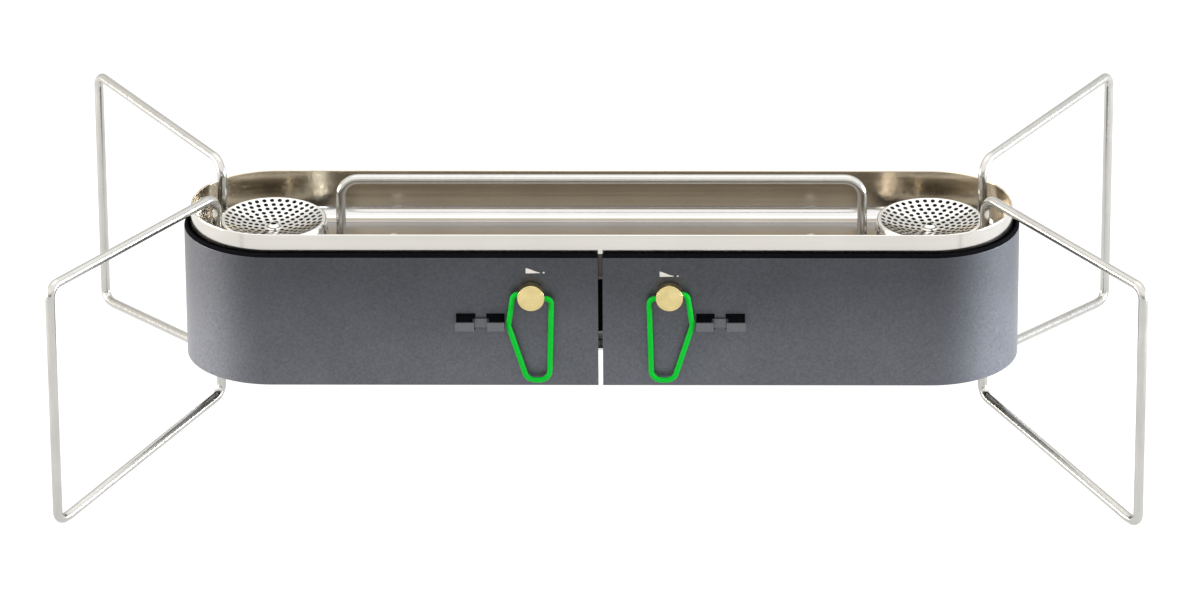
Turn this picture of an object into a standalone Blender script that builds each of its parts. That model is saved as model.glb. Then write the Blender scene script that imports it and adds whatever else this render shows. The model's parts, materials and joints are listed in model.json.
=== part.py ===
"""Compact two-burner gas stove on four folding wire legs, as separate parts.

Metres, +Z up, the floor at z = 0 and the front of the stove towards -Y.
Run with: blender --background --python part.py
"""
import math

import bmesh
import bpy
from mathutils import Vector

SIDES = {"left": -1, "right": 1}
FACES = {"front": -1, "back": 1}
GAP = 0.0003
SHEET = 0.0012

# Wire. Its bevel has eight sides, whose flats lie at the wire's true radius.
WIRE_RADIUS = 0.0025
FLAT_TURN = math.pi / 8
WIRE_BEVEL = WIRE_RADIUS / math.cos(FLAT_TURN)

# Body in plan: two straight sides, and round ends centred on the burners.
END_X = 0.1721
TRAY_RADIUS = 0.0433
SHELL_RADIUS = 0.0469
SHELL_BOTTOM = 0.0368
SHELL_TOP = 0.1113
SEAM_HALF_GAP = 0.0012
TRAY_RIM_Z = 0.1208
TRAY_FLOOR_Z = 0.0942
TRAY_FILLET = 0.008
UNDER_TRAY = TRAY_FLOOR_Z - SHEET - 0.0004

# Legs: closed wire gates that swing on upright pivots in the round ends.
PIVOT_X = 0.2001
PIVOT_Y = 0.0230
LEG_REACH = 0.141
LEG_TOP_Z = 0.134
LEG_HEEL_Z = 0.0216
LEG_FOOT_Z = WIRE_RADIUS
LEG_FOOT_RUN = 0.0095
LEG_SPREAD = {"front_left": 56.5, "front_right": 57.0, "back_left": 58.5, "back_right": 59.5}

# Clips that hold a folded leg, one for each leg.
CLIP_X = 0.063
CLIP_LOW = 0.0706
CLIP_HIGH = 0.0754
CLIP_SHEET = 0.0010
CLIP_SADDLE = 0.0014
CLIP_STANDOFF = 0.0067
CLIP_NOTCH_IN = 0.0040
CLIP_NOTCH_OUT = 0.0026
CLIP_END_IN = 0.0131
CLIP_END_OUT = 0.0126
WINDOW_LOW = 0.0690
WINDOW_HIGH = 0.0778
WINDOW_SPANS = ((-0.0131, -0.0036), (0.0022, 0.0122))

# Centre pan support.
HOOP_X = 0.1366
HOOP_BEND = 0.0096
HOOP_FOOT_Z = 0.0875
FERRULE_HEIGHT = 0.0040

# Burners.
THROAT_RADIUS = 0.0076
DISH_RADIUS = 0.0262
DISH_RIM_Z = 0.1118
DISH_CENTRE_Z = 0.1064
HEAD_SHEET = 0.0008
SKIRT_RADIUS = 0.0296
SKIRT_LOW = 0.0980
CUP_FLOOR_Z = TRAY_FLOOR_Z + 0.0004
CUP_TOP_Z = 0.1076
CUP_SHEET = 0.0010

# Controls.
KNOB_X = 0.036
KNOB_Z = 0.0892
KNOB_RADIUS = 0.0071
KNOB_REAR = SHELL_RADIUS + 0.0006
KNOB_FRONT = 0.0537
KNOB_MID = (KNOB_REAR + KNOB_FRONT) / 2
BAIL_RADIUS = 0.0014
BAIL_TILT = math.radians(9.3)
SNOUT_RADIUS = 0.0034
SPINDLE_RADIUS = 0.0021

# Gas train under the tray.
VALVE_HALF = 0.0060
VALVE_FRONT = -0.030
VALVE_REAR = 0.006
VALVE_LOW = 0.072
MIX_Z = 0.080
MIX_MOUTH = 0.052
MIX_RADIUS = 0.0070
MIX_WALL = 0.0010
MIX_BEND = 0.013
MANIFOLD_Z = 0.076
MANIFOLD_Y = 0.015
MANIFOLD_HALF = (0.010, 0.009, 0.008)
CENTRE_WEB_Y = 0.0
INLET_RADIUS = 0.0045
INLET_END = 0.066

# Rivets on the tray floor: x, y from the middle of the stove.
LEG_RIVET_X = 0.1965
SHELL_RIVET = (0.110, 0.016)
RIVET_HOLE = 0.0018

FINISHES = {
    "stainless": ((0.66, 0.64, 0.60), 1.0, 0.24),
    "wire": ((0.78, 0.77, 0.74), 1.0, 0.18),
    "coated": ((0.085, 0.088, 0.097), 0.55, 0.42),
    "dark": ((0.020, 0.020, 0.022), 0.3, 0.6),
    "brass": ((0.80, 0.62, 0.30), 1.0, 0.25),
    "green": ((0.01, 0.58, 0.06), 0.0, 0.4),
    "copper": ((0.72, 0.40, 0.26), 1.0, 0.3),
    "zinc": ((0.55, 0.56, 0.58), 1.0, 0.35),
}


def clear_scene():
    for old in list(bpy.data.objects):
        bpy.data.objects.remove(old, do_unlink=True)


def make_collection(name):
    made = bpy.data.collections.new(name)
    bpy.context.scene.collection.children.link(made)
    return made


clear_scene()
PARTS = make_collection("folding_two_burner_stove")
CUTTERS = make_collection("cutters")


def finish(name, kind):
    colour, metallic, roughness = FINISHES[kind]
    made = bpy.data.materials.new(name + "_finish")
    made.use_nodes = True
    shader = made.node_tree.nodes["Principled BSDF"]
    shader.inputs["Base Color"].default_value = (*colour, 1.0)
    shader.inputs["Metallic"].default_value = metallic
    shader.inputs["Roughness"].default_value = roughness
    made.diffuse_color = (*colour, 1.0)
    return made


def place(name, data, kind, location=(0, 0, 0), rotation=(0, 0, 0)):
    made = bpy.data.objects.new(name, data)
    made.location = location
    made.rotation_euler = rotation
    data.materials.append(finish(name, kind))
    PARTS.objects.link(made)
    return made


def mesh_from(name, bm):
    bmesh.ops.recalc_face_normals(bm, faces=bm.faces)
    mesh = bpy.data.meshes.new(name)
    bm.to_mesh(mesh)
    bm.free()
    return mesh


def smooth(mesh, degrees=35):
    mesh.shade_smooth()
    mesh.set_sharp_from_angle(angle=math.radians(degrees))


def add_box(bm, low, high):
    cube = bmesh.ops.create_cube(bm, size=1.0)["verts"]
    low, high = Vector(low), Vector(high)
    bmesh.ops.scale(bm, vec=high - low, verts=cube)
    bmesh.ops.translate(bm, vec=(low + high) / 2, verts=cube)


def add_rod(bm, start, end, radius, segments=16):
    start, end = Vector(start), Vector(end)
    along = end - start
    rod = bmesh.ops.create_cone(bm, cap_ends=True, segments=segments, radius1=radius,
                                radius2=radius, depth=along.length)["verts"]
    turn = Vector((0, 0, 1)).rotation_difference(along).to_matrix()
    bmesh.ops.rotate(bm, cent=(0, 0, 0), matrix=turn, verts=rod)
    bmesh.ops.translate(bm, vec=(start + end) / 2, verts=rod)


def boolean(target, name, bm, operation="DIFFERENCE"):
    """Cut the solids in bm out of target, or join them to it."""
    tool = bpy.data.objects.new(name, mesh_from(name, bm))
    tool.hide_render = True
    tool.display_type = "WIRE"
    CUTTERS.objects.link(tool)
    step = target.modifiers.new(name, "BOOLEAN")
    step.operation = operation
    step.solver = "EXACT"
    step.object = tool
    return target


def thicken(target, thickness, offset):
    step = target.modifiers.new("sheet", "SOLIDIFY")
    step.thickness = thickness
    step.offset = offset
    step.use_even_offset = True
    return target


def turned(name, profile, kind, location, rotation=(0, 0, 0), steps=24, ring=False):
    """Solid of revolution about local Z; profile is (radius, z), down its outer side.

    A ring's profile is closed and stays off the axis.
    """
    bm = bmesh.new()
    verts = [bm.verts.new((radius, 0, z)) for radius, z in profile]
    for first, second in zip(verts, verts[1:]):
        bm.edges.new((first, second))
    if ring:
        bm.edges.new((verts[-1], verts[0]))
    mesh = bpy.data.meshes.new(name)
    bm.to_mesh(mesh)
    bm.free()
    made = place(name, mesh, kind, location, rotation)
    screw = made.modifiers.new("turn", "SCREW")
    screw.axis = "Z"
    screw.steps = steps
    screw.render_steps = steps
    screw.use_merge_vertices = True
    screw.merge_threshold = 0.00001
    screw.use_smooth_shade = False
    return made


def rounded(corners, radii, closed=False, arc_steps=4):
    """Points along a path whose corners are rounded; a radius of 0 keeps the corner."""
    points = []
    count = len(corners)
    for index, (corner, radius) in enumerate(zip(corners, radii)):
        corner = Vector(corner)
        if radius == 0 or (not closed and index in (0, count - 1)):
            points.append(corner)
            continue
        towards_last = (Vector(corners[index - 1]) - corner).normalized()
        towards_next = (Vector(corners[(index + 1) % count]) - corner).normalized()
        half = towards_last.angle(towards_next) / 2
        middle = corner + (towards_last + towards_next).normalized() * radius / math.sin(half)
        reach = radius / math.tan(half)
        start = corner + towards_last * reach - middle
        sweep = math.pi - 2 * half
        finish_side = corner + towards_next * reach - middle
        for step in range(arc_steps + 1):
            part = sweep * step / arc_steps
            points.append(middle + (start * math.sin(sweep - part)
                                    + finish_side * math.sin(part)) / math.sin(sweep))
    return points


def bent_rod(name, points, radius, kind, location=(0, 0, 0), rotation=(0, 0, 0), closed=False):
    """Round rod along points, as an eight-sided bevel with its flats at the radius."""
    curve = bpy.data.curves.new(name, "CURVE")
    curve.dimensions = "3D"
    curve.bevel_depth = radius / math.cos(FLAT_TURN)
    curve.bevel_resolution = 2
    curve.use_fill_caps = not closed
    spline = curve.splines.new("POLY")
    spline.points.add(len(points) - 1)
    spline.use_cyclic_u = closed
    for knot, point in zip(spline.points, points):
        knot.co = (*point, 1.0)
        knot.tilt = FLAT_TURN
    return place(name, curve, kind, location, rotation)


def to_mesh_object(rod):
    """Replace a curve object by a closed mesh object of the same name."""
    evaluated = rod.evaluated_get(bpy.context.evaluated_depsgraph_get())
    mesh = bpy.data.meshes.new_from_object(evaluated)
    name = rod.name
    matrix = rod.matrix_world.copy()
    bpy.data.objects.remove(rod, do_unlink=True)
    bm = bmesh.new()
    bm.from_mesh(mesh)
    bmesh.ops.remove_doubles(bm, verts=bm.verts, dist=0.00001)
    bm.to_mesh(mesh)
    bm.free()
    made = bpy.data.objects.new(name, mesh)
    made.matrix_world = matrix
    PARTS.objects.link(made)
    return made


def strip(name, path, across, thickness, kind, inside):
    """Folded sheet: a path swept along across, thickened towards the point called inside."""
    path = [Vector(point) for point in path]
    across = Vector(across)
    bm = bmesh.new()
    near = [bm.verts.new(point) for point in path]
    far = [bm.verts.new(point + across) for point in path]
    for index in range(len(path) - 1):
        bm.faces.new((near[index], near[index + 1], far[index + 1], far[index]))
    mesh = bpy.data.meshes.new(name)
    bm.to_mesh(mesh)
    bm.free()
    normal = (path[1] - path[0]).cross(across)
    offset = 1 if normal.dot(Vector(inside) - path[0]) > 0 else -1
    return thicken(place(name, mesh, kind), thickness, offset)


def stadium(radius, steps=14):
    """Plan outline with round ends about (+-END_X, 0), anticlockwise from the front right."""
    points = []
    for side in (1, -1):
        for step in range(steps + 1):
            turn = -math.pi / 2 * side + math.pi * step / steps
            points.append((END_X * side + radius * math.cos(turn), radius * math.sin(turn)))
    return points


# Tray and outer shell

def make_tray():
    """Pressed pan: an open skin with a filleted foot, thickened inwards."""
    bm = bmesh.new()
    rim = [bm.verts.new((x, y, TRAY_FLOOR_Z - SHEET)) for x, y in stadium(TRAY_RADIUS)]
    floor = bm.faces.new(rim)
    foot_edges = list(floor.edges)
    raised = bmesh.ops.extrude_edge_only(bm, edges=foot_edges)["geom"]
    lifted = [item for item in raised if isinstance(item, bmesh.types.BMVert)]
    bmesh.ops.translate(bm, vec=(0, 0, TRAY_RIM_Z - TRAY_FLOOR_Z + SHEET), verts=lifted)
    bmesh.ops.bevel(bm, geom=foot_edges, offset=TRAY_FILLET, segments=4, profile=0.5,
                    affect="EDGES")
    bmesh.ops.recalc_face_normals(bm, faces=bm.faces)
    mesh = bpy.data.meshes.new("tray")
    bm.to_mesh(mesh)
    bm.free()
    smooth(mesh)
    tray = thicken(place("tray", mesh, "stainless"), SHEET, -1)
    holes = bmesh.new()
    low, high = TRAY_FLOOR_Z - 0.004, TRAY_FLOOR_Z + 0.006
    for x, y, radius in tray_holes():
        add_rod(holes, (x, y, low), (x, y, high), radius, 12)
    return boolean(tray, "tray_holes", holes)


def rivet_places():
    places = {}
    for label, side in SIDES.items():
        places[label] = (LEG_RIVET_X * side, 0)
        for face_name, face in FACES.items():
            places[face_name + "_" + label] = (SHELL_RIVET[0] * side, SHELL_RIVET[1] * face)
    return places


def tray_holes():
    for side in SIDES.values():
        yield END_X * side, 0, THROAT_RADIUS
        yield HOOP_X * side, 0, WIRE_BEVEL + 2 * GAP
        for face in FACES.values():
            yield PIVOT_X * side, PIVOT_Y * face, WIRE_BEVEL + 2 * GAP
    for x, y in rivet_places().values():
        yield x, y, RIVET_HOLE


def make_shell_half(label, side):
    """One half of the outer band, from the front seam round its end to the back seam."""
    outline = [(SEAM_HALF_GAP * side, -SHELL_RADIUS)]
    steps = 20
    for step in range(steps + 1):
        turn = -math.pi / 2 + math.pi * step / steps
        outline.append((side * (END_X + SHELL_RADIUS * math.cos(turn)),
                        SHELL_RADIUS * math.sin(turn)))
    outline.append((SEAM_HALF_GAP * side, SHELL_RADIUS))
    path = [(x, y, SHELL_BOTTOM) for x, y in outline]
    height = (0, 0, SHELL_TOP - SHELL_BOTTOM)
    shell = strip("shell_" + label, path, height, SHEET, "coated", (0, 0, SHELL_BOTTOM))
    cuts = bmesh.new()
    add_rod(cuts, (KNOB_X * side, -SHELL_RADIUS - 0.003, KNOB_Z),
            (KNOB_X * side, -SHELL_RADIUS + 0.004, KNOB_Z), SNOUT_RADIUS + 0.0010)
    for face in FACES.values():
        for start, end in WINDOW_SPANS:
            low_x, high_x = sorted((side * (CLIP_X + start), side * (CLIP_X + end)))
            low_y, high_y = sorted((face * (SHELL_RADIUS - 0.003), face * (SHELL_RADIUS + 0.003)))
            add_box(cuts, (low_x, low_y, WINDOW_LOW), (high_x, high_y, WINDOW_HIGH))
    boolean(shell, "shell_cuts_" + label, cuts)
    notch = bmesh.new()
    add_rod(notch, (0, SHELL_RADIUS - 0.004, MANIFOLD_Z), (0, SHELL_RADIUS + 0.004, MANIFOLD_Z),
            INLET_RADIUS + 0.0015)
    boolean(shell, "inlet_notch_" + label, notch)


# Legs, their bearings and their clips

def make_leg(place_name, side, face):
    """Wire gate in its own XZ plane, its origin on the upright pivot axis."""
    corners = [(0, 0, LEG_TOP_Z), (LEG_REACH, 0, LEG_TOP_Z), (LEG_REACH, 0, LEG_FOOT_Z),
               (LEG_REACH - LEG_FOOT_RUN, 0, LEG_FOOT_Z), (0, 0, LEG_HEEL_Z)]
    points = rounded(corners, (0.009, 0.0065, 0.0052, 0, 0.007), closed=True)
    spread = math.radians(LEG_SPREAD[place_name])
    heading = math.atan2(face * math.sin(spread), side * math.cos(spread))
    bent_rod("leg_" + place_name, points, WIRE_RADIUS, "wire",
             (PIVOT_X * side, PIVOT_Y * face, 0), (0, 0, heading), closed=True)


def make_leg_collar(place_name, side, face):
    """Stop ring that is fixed to the pivot wire, just over the lower bearing."""
    low, high = SHELL_BOTTOM + 0.0098, SHELL_BOTTOM + 0.0142
    inner, outer = WIRE_BEVEL + GAP, 0.0046
    turned("leg_collar_" + place_name, [(inner, high), (outer, high), (outer, low), (inner, low)],
           "zinc", (PIVOT_X * side, PIVOT_Y * face, 0), steps=16, ring=True)


def make_leg_bracket(label, side):
    """Channel under the tray's end whose two flanges carry both leg pivots."""
    web_x, lip_x, half_width = 0.1905, 0.2050, 0.027
    low = SHELL_BOTTOM + 0.0082
    path = [(side * lip_x, -half_width, UNDER_TRAY), (side * web_x, -half_width, UNDER_TRAY),
            (side * web_x, -half_width, low), (side * lip_x, -half_width, low)]
    bracket = strip("leg_bracket_" + label, path, (0, 2 * half_width, 0), SHEET, "zinc",
                    (side * lip_x, -half_width, low))
    holes = bmesh.new()
    for face in FACES.values():
        x, y = PIVOT_X * side, PIVOT_Y * face
        add_rod(holes, (x, y, low - 0.004), (x, y, UNDER_TRAY + 0.004), WIRE_BEVEL + 2 * GAP, 12)
    x = LEG_RIVET_X * side
    add_rod(holes, (x, 0, UNDER_TRAY - 0.004), (x, 0, UNDER_TRAY + 0.004), RIVET_HOLE, 8)
    boolean(bracket, "leg_bracket_holes_" + label, holes)


def make_leg_clip(place_name, side, face):
    """Sprung strip: a saddle for the leg's wire between two raised wings."""
    stations = [(CLIP_END_OUT, CLIP_STANDOFF), (CLIP_NOTCH_OUT, CLIP_STANDOFF),
                (CLIP_NOTCH_OUT, CLIP_SADDLE), (-CLIP_NOTCH_IN, CLIP_SADDLE),
                (-CLIP_NOTCH_IN, CLIP_STANDOFF), (-CLIP_END_IN, CLIP_STANDOFF)]
    path = [(side * (CLIP_X + along), face * (SHELL_RADIUS + proud), CLIP_LOW)
            for along, proud in stations]
    strip("leg_clip_" + place_name, path, (0, 0, CLIP_HIGH - CLIP_LOW), CLIP_SHEET, "coated",
          (CLIP_X * side, 0, CLIP_LOW))


def make_clip_plate(place_name, side, face):
    """Backing plate inside the shell, behind the clip's two windows."""
    bm = bmesh.new()
    inner = SHELL_RADIUS - SHEET - GAP
    low_x, high_x = sorted((side * (CLIP_X - 0.0165), side * (CLIP_X + 0.0165)))
    low_y, high_y = sorted((face * inner, face * (inner - CLIP_SHEET)))
    add_box(bm, (low_x, low_y, WINDOW_LOW - 0.004), (high_x, high_y, WINDOW_HIGH + 0.003))
    place("clip_plate_" + place_name, mesh_from("clip_plate", bm), "dark")


# Centre pan support

def make_hoop():
    corners = [(-HOOP_X, 0, HOOP_FOOT_Z), (-HOOP_X, 0, LEG_TOP_Z), (HOOP_X, 0, LEG_TOP_Z),
               (HOOP_X, 0, HOOP_FOOT_Z)]
    bent_rod("center_pan_support", rounded(corners, (0, HOOP_BEND, HOOP_BEND, 0)), WIRE_RADIUS,
             "wire")


def make_hoop_ferrule(label, side):
    """Ring that holds the pan support's foot under the tray."""
    inner, outer = WIRE_BEVEL + GAP, 0.0050
    high, low = UNDER_TRAY, UNDER_TRAY - FERRULE_HEIGHT
    turned("support_ferrule_" + label, [(inner, high), (outer, high), (outer, low), (inner, low)],
           "zinc", (HOOP_X * side, 0, 0), steps=16, ring=True)


# Burners

def dish_height(radius):
    return DISH_CENTRE_Z + (DISH_RIM_Z - DISH_CENTRE_Z) * (radius / DISH_RADIUS) ** 2


def make_burner_head(label, side):
    """Shallow dish with a rolled rim and a flared skirt."""
    centre_hole = 0.0019
    stations = [centre_hole, 0.008, 0.014, 0.019, 0.023, DISH_RADIUS]
    top = [(radius, dish_height(radius)) for radius in stations]
    rim = [(DISH_RADIUS + 0.0009, DISH_RIM_Z + 0.0002), (DISH_RADIUS + 0.0016, DISH_RIM_Z - 0.0007),
           (SKIRT_RADIUS, SKIRT_LOW)]
    under_rim = [(SKIRT_RADIUS - HEAD_SHEET, SKIRT_LOW), (DISH_RADIUS + 0.0007, DISH_RIM_Z - 0.0011)]
    under = [(radius, height - HEAD_SHEET) for radius, height in reversed(top)]
    turned("burner_head_" + label, top + rim + under_rim + under, "stainless",
           (END_X * side, 0, 0), steps=36, ring=True)


def make_burner_cup(label, side):
    floor, top = CUP_FLOOR_Z, CUP_TOP_Z
    profile = [(0.0250, top), (0.0260, top), (0.0206, floor), (THROAT_RADIUS, floor),
               (THROAT_RADIUS, floor + CUP_SHEET), (0.0200, floor + CUP_SHEET)]
    turned("burner_cup_" + label, profile, "zinc", (END_X * side, 0, 0), steps=28, ring=True)


def make_burner_bridge(label, side):
    """Bar across the throat that the burner's middle screw holds on to."""
    bm = bmesh.new()
    low = CUP_FLOOR_Z + CUP_SHEET + 0.0004
    add_box(bm, (END_X * side - 0.017, -0.003, low), (END_X * side + 0.017, 0.003, low + SHEET))
    bridge = place("burner_bridge_" + label, mesh_from("burner_bridge", bm), "zinc")
    hole = bmesh.new()
    add_rod(hole, (END_X * side, 0, low - 0.003), (END_X * side, 0, low + 0.004), 0.0019, 10)
    boolean(bridge, "bridge_hole_" + label, hole)


def make_burner_screw(label, side):
    seat = DISH_CENTRE_Z + 0.00035
    foot = CUP_FLOOR_Z + CUP_SHEET + 0.0006
    profile = [(0, seat + 0.0018), (0.0022, seat + 0.0015), (0.0032, seat + 0.0006),
               (0.0032, seat), (0.0015, seat), (0.0015, foot), (0, foot)]
    turned("burner_screw_" + label, profile, "zinc", (END_X * side, 0, 0), steps=12)


def make_mixing_tube(label, side):
    """Open tube from the jet to the burner's throat, with an elbow under the burner."""
    top = CUP_FLOOR_Z + CUP_SHEET - 0.0002
    corners = [(side * MIX_MOUTH, 0, MIX_Z), (side * END_X, 0, MIX_Z), (side * END_X, 0, top)]
    path = rounded(corners, (0, MIX_BEND, 0), arc_steps=5)
    name = "mixing_tube_" + label
    tube = to_mesh_object(bent_rod(name, path, MIX_RADIUS - 0.0006, "zinc"))
    past_mouth = Vector((-side * 0.003, 0, 0))
    past_top = Vector((0, 0, 0.003))
    bore_path = [path[0] + past_mouth] + path[1:-1] + [path[-1] + past_top]
    bore = to_mesh_object(bent_rod(name + "_bore", bore_path, MIX_RADIUS - 0.0006 - MIX_WALL,
                                   "zinc"))
    PARTS.objects.unlink(bore)
    CUTTERS.objects.link(bore)
    bore.hide_render = True
    bore.display_type = "WIRE"
    step = tube.modifiers.new("bore", "BOOLEAN")
    step.operation = "DIFFERENCE"
    step.solver = "EXACT"
    step.object = bore


# Valves, jets, knobs and bails

def make_valve_body(label, side):
    """Brass block with a round snout that reaches the knob's hole in the shell."""
    x = KNOB_X * side
    bm = bmesh.new()
    add_box(bm, (x - VALVE_HALF, VALVE_FRONT, VALVE_LOW), (x + VALVE_HALF, VALVE_REAR, UNDER_TRAY))
    valve = place("valve_body_" + label, mesh_from("valve_body", bm), "brass")
    snout = bmesh.new()
    add_rod(snout, (x, VALVE_FRONT + 0.004, KNOB_Z), (x, -SHELL_RADIUS + GAP, KNOB_Z),
            SNOUT_RADIUS)
    boolean(valve, "valve_snout_" + label, snout, "UNION")
    bore = bmesh.new()
    add_rod(bore, (x, VALVE_FRONT + 0.010, KNOB_Z), (x, -SHELL_RADIUS - 0.004, KNOB_Z),
            SPINDLE_RADIUS + 0.0004, 12)
    boolean(valve, "valve_bore_" + label, bore)


def make_spindle(label, side):
    reach_out, reach_in = KNOB_REAR + 0.0036, -VALVE_FRONT - 0.0095
    profile = [(0, reach_out), (SPINDLE_RADIUS, reach_out), (SPINDLE_RADIUS, reach_in),
               (0, reach_in)]
    turned("valve_spindle_" + label, profile, "brass", (KNOB_X * side, 0, KNOB_Z),
           (math.radians(90), 0, 0), steps=12)


def make_knob(label, side):
    """Brass button with a blind hole for its spindle and one at each side for the bail."""
    edge = 0.0008
    profile = [(0, KNOB_FRONT), (KNOB_RADIUS - edge, KNOB_FRONT), (KNOB_RADIUS, KNOB_FRONT - edge),
               (KNOB_RADIUS, KNOB_REAR + edge), (KNOB_RADIUS - edge, KNOB_REAR), (0, KNOB_REAR)]
    knob = turned("knob_" + label, profile, "brass", (KNOB_X * side, 0, KNOB_Z),
                  (math.radians(90), 0, 0), steps=28)
    holes = bmesh.new()
    centre = Vector((0, 0, KNOB_MID))
    towards_clip = Vector((side * math.cos(BAIL_TILT), math.sin(BAIL_TILT), 0))
    for way in (1, -1):
        add_rod(holes, centre + towards_clip * way * 0.0043, centre + towards_clip * way * 0.010,
                BAIL_RADIUS + 0.0005, 12)
    add_rod(holes, (0, 0, KNOB_REAR - 0.002), (0, 0, KNOB_REAR + 0.0040),
            SPINDLE_RADIUS + 0.0004, 12)
    for vert in holes.verts:
        vert.co = Vector((vert.co.x, -vert.co.z, vert.co.y))
    bmesh.ops.translate(holes, vec=(KNOB_X * side, 0, KNOB_Z), verts=holes.verts)
    boolean(knob, "knob_holes_" + label, holes)


def make_bail(label, side):
    """Green coated wire loop, hung from the knob's two side holes.

    Corners are measured from the knob's middle: towards the clip, and up.
    """
    tilt = math.tan(BAIL_TILT)
    seat = 0.0047
    corners = [(seat, seat * tilt), (0.0092, 0.0092 * tilt), (0.0119, -0.0165),
               (0.0022, -0.0476), (-0.0094, -0.0476), (-0.0106, -0.0106 * tilt),
               (-seat, -seat * tilt)]
    points = rounded([(side * out, 0, up) for out, up in corners],
                     (0, 0.0028, 0.0035, 0.0055, 0.0055, 0.0028, 0), arc_steps=3)
    bent_rod("knob_bail_" + label, points, BAIL_RADIUS, "green",
             (KNOB_X * side, -KNOB_MID, KNOB_Z))


def make_jet(label, side):
    """Hexagon and nozzle that point from the valve into the mixing tube."""
    start, shoulder, tip = KNOB_X + VALVE_HALF + GAP, 0.0462, 0.0505
    profile = [(0, tip), (0.0012, tip), (0.0020, shoulder), (0.0036, shoulder), (0.0036, start),
               (0, start)]
    turned("jet_" + label, profile, "brass", (0, 0, MIX_Z), (0, math.radians(90) * side, 0),
           steps=6)


# Inlet and manifold

def make_manifold():
    half_x, half_y, half_z = MANIFOLD_HALF
    bm = bmesh.new()
    add_box(bm, (-half_x, MANIFOLD_Y - half_y, MANIFOLD_Z - half_z),
            (half_x, MANIFOLD_Y + half_y, MANIFOLD_Z + half_z))
    place("manifold_block", mesh_from("manifold_block", bm), "brass")


def make_gas_pipe(label, side):
    start = MANIFOLD_HALF[0] + GAP
    corners = [(side * start, MANIFOLD_Y, MANIFOLD_Z), (side * KNOB_X, MANIFOLD_Y, MANIFOLD_Z),
               (side * KNOB_X, VALVE_REAR + GAP, MANIFOLD_Z)]
    bent_rod("gas_pipe_" + label, rounded(corners, (0, 0.0055, 0)), 0.0022, "copper")


def make_center_bracket():
    """Folded sheet that hangs the manifold under the middle of the tray."""
    half_width, lip_y, lip_z, top_y = 0.028, -0.012, 0.0435, 0.014
    path = [(-half_width, top_y, UNDER_TRAY), (-half_width, CENTRE_WEB_Y, UNDER_TRAY),
            (-half_width, CENTRE_WEB_Y, lip_z), (-half_width, lip_y, lip_z)]
    strip("center_bracket", path, (2 * half_width, 0, 0), SHEET, "zinc",
          (-half_width, top_y, lip_z))


def make_inlet_fitting():
    """Hose tail with a blind bore, out through the notch in the back seam."""
    start = MANIFOLD_Y + MANIFOLD_HALF[1] + GAP
    profile = [(0.0022, INLET_END - 0.012), (0.0022, INLET_END), (0.0038, INLET_END),
               (INLET_RADIUS, INLET_END - 0.003), (0.0038, INLET_END - 0.004),
               (INLET_RADIUS, INLET_END - 0.007), (0.0038, INLET_END - 0.008),
               (INLET_RADIUS, INLET_END - 0.011), (INLET_RADIUS, start), (0, start)]
    profile.insert(0, (0, INLET_END - 0.012))
    turned("gas_inlet_fitting", profile, "brass", (0, 0, MANIFOLD_Z), (math.radians(-90), 0, 0),
           steps=16)


def make_inlet_nut():
    """Hexagon nut on the fitting, outside the back of the shell."""
    front, rear = SHELL_RADIUS + 0.0005, SHELL_RADIUS + 0.0050
    bm = bmesh.new()
    add_rod(bm, (0, front, MANIFOLD_Z), (0, rear, MANIFOLD_Z), 0.0082, 6)
    nut = place("gas_inlet_nut", mesh_from("gas_inlet_nut", bm), "brass")
    bore = bmesh.new()
    add_rod(bore, (0, front - 0.003, MANIFOLD_Z), (0, rear + 0.003, MANIFOLD_Z),
            INLET_RADIUS + 0.0005)
    boolean(nut, "inlet_nut_bore", bore)


# Brackets and rivets

def make_shell_bracket(place_name, side, face):
    """Angle between the tray's floor and the inside of the shell."""
    half_width, low, inner = 0.008, 0.066, SHELL_RADIUS - SHEET - GAP
    x = side * SHELL_RIVET[0] - half_width
    path = [(x, face * inner, low), (x, face * inner, UNDER_TRAY),
            (x, face * (SHELL_RIVET[1] - 0.005), UNDER_TRAY)]
    bracket = strip("shell_bracket_" + place_name, path, (2 * half_width, 0, 0), SHEET, "zinc",
                    (x, 0, low))
    hole = bmesh.new()
    x, y = SHELL_RIVET[0] * side, SHELL_RIVET[1] * face
    add_rod(hole, (x, y, UNDER_TRAY - 0.004), (x, y, UNDER_TRAY + 0.004), RIVET_HOLE, 8)
    boolean(bracket, "shell_bracket_hole_" + place_name, hole)


def make_rivets():
    """Rivets that hold the brackets under the tray's floor."""
    seat = TRAY_FLOOR_Z + GAP
    tail = UNDER_TRAY - SHEET - GAP
    profile = [(0, seat + 0.0012), (0.0015, seat + 0.0010), (0.0027, seat), (0.0014, seat),
               (0.0014, tail), (0.0022, tail), (0.0022, tail - 0.0007), (0, tail - 0.0007)]
    for place_name, (x, y) in rivet_places().items():
        turned("tray_rivet_" + place_name, profile, "zinc", (x, y, 0), steps=10)


def build():
    make_tray()
    make_hoop()
    make_manifold()
    make_center_bracket()
    make_inlet_fitting()
    make_inlet_nut()
    make_rivets()
    for label, side in SIDES.items():
        make_shell_half(label, side)
        make_hoop_ferrule(label, side)
        make_leg_bracket(label, side)
        make_burner_head(label, side)
        make_burner_cup(label, side)
        make_burner_bridge(label, side)
        make_burner_screw(label, side)
        make_mixing_tube(label, side)
        make_valve_body(label, side)
        make_spindle(label, side)
        make_knob(label, side)
        make_bail(label, side)
        make_jet(label, side)
        make_gas_pipe(label, side)
        for face_name, face in FACES.items():
            place_name = face_name + "_" + label
            make_leg(place_name, side, face)
            make_leg_collar(place_name, side, face)
            make_leg_clip(place_name, side, face)
            make_clip_plate(place_name, side, face)
            make_shell_bracket(place_name, side, face)


build()
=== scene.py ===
"""Looks of the folding two-burner gas stove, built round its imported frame.

Metres, +Z up, the front of the stove towards -Y.
"""
import json
import math

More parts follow.
